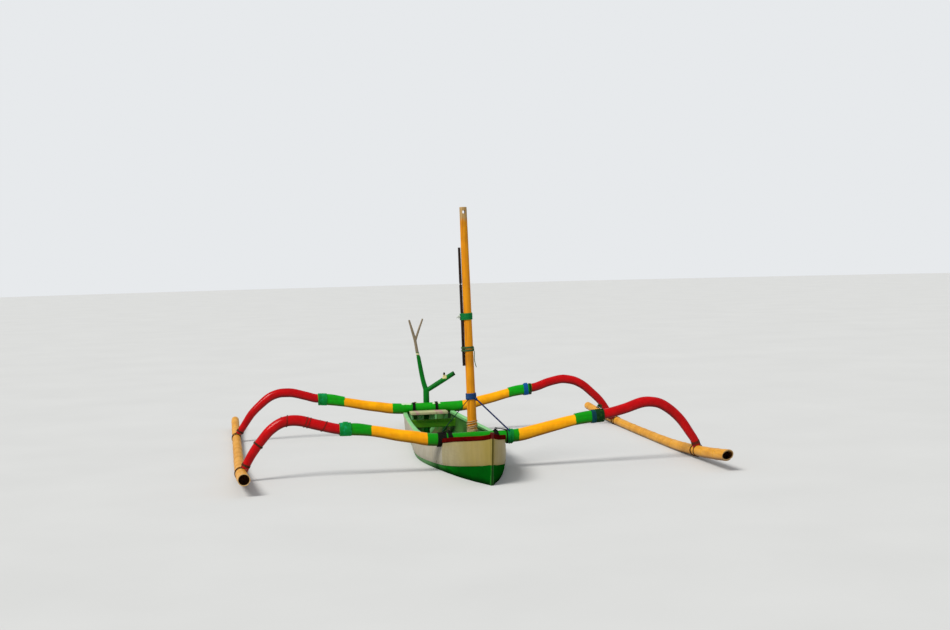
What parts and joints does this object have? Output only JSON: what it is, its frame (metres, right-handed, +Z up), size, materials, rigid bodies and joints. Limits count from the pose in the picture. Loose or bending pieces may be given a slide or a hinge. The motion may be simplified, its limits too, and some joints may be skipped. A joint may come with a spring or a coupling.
{
  "type": "outrigger canoe",
  "caption": "Narrow wooden outrigger canoe afloat: canoe hull, two crosswise booms with drooping arms, a bamboo float on each side and a short mast.",
  "frame": {"origin": "on the centreline at the waterline, about 0.1 m aft of the middle of the hull's length", "axes": "+X to the bow, +Y to port, +Z up"},
  "size_m": [5.5701, 4.6598, 2.7416],
  "materials": {
    "green_paint": "glossy hand-brushed paint",
    "pale_green_paint": "worn matt paint",
    "cream_paint": "worn satin paint",
    "maroon_paint": "worn satin paint",
    "olive_paint": "worn satin paint",
    "orange_paint": "glossy hand-brushed paint",
    "red_paint": "glossy hand-brushed paint",
    "mast_timber": "varnished, weathered at the head",
    "dark_pole": "dark weathered pole",
    "bamboo": "satin weathered bamboo",
    "brown_rope": "rough twisted fibre",
    "black_rope": "rough twisted fibre",
    "green_rope": "twisted line",
    "blue_rope": "twisted line"
  },
  "bodies": {
    "canoe": {"float_port": "bamboo", "float_starboard": "bamboo", "arm_front_port": "red_paint", "arm_lashing_front_port": "brown_rope", "float_lashing_front_port": "brown_rope", "arm_front_starboard": "red_paint", "arm_lashing_front_starboard": "brown_rope", "float_lashing_front_starboard": "brown_rope", "boom_front": "orange_paint", "arm_rear_port": "red_paint", "arm_lashing_rear_port": "brown_rope", "float_lashing_rear_port": "brown_rope", "arm_rear_starboard": "red_paint", "arm_lashing_rear_starboard": "brown_rope", "float_lashing_rear_starboard": "brown_rope", "boom_rear": "orange_paint", "hull_bottom": "green_paint", "stem_post": "olive_paint", "stern_post": "olive_paint", "side_plank_starboard": "cream_paint", "side_plank_port": "cream_paint", "rail_aft_starboard": "cream_paint", "rail_middle_starboard": "pale_green_paint", "rail_aft_port": "cream_paint", "rail_middle_port": "pale_green_paint", "rail_fore_starboard": "maroon_paint", "rail_fore_port": "maroon_paint", "rib_fore": "pale_green_paint", "rib_middle": "pale_green_paint", "rib_aft": "pale_green_paint", "thwart_riser": "green_paint", "thwart": "cream_paint", "thwart_post_starboard": "pale_green_paint", "thwart_post_inner_starboard": "pale_green_paint", "thwart_post_inner_port": "pale_green_paint", "thwart_post_port": "pale_green_paint", "mast_step": "olive_paint", "boom_lashing_front_port": "black_rope", "boom_lashing_front_starboard": "black_rope", "boom_lashing_rear_port": "black_rope", "boom_lashing_rear_starboard": "black_rope", "crutch": "green_paint"},
    "mast": {"mast": "mast_timber", "mast_side_pole": "dark_pole", "mast_lashing_blue": "blue_rope", "mast_lashing_middle": "green_rope", "mast_lashing_upper": "green_rope"}
  },
  "joints": [
    {"name": "mast_tilt", "type": "hinge", "parent": "canoe", "child": "mast", "pos_m": [1.618, 0.028, -0.018], "axis": [0, -1, 0], "range_deg": [0, 84]}
  ]
}
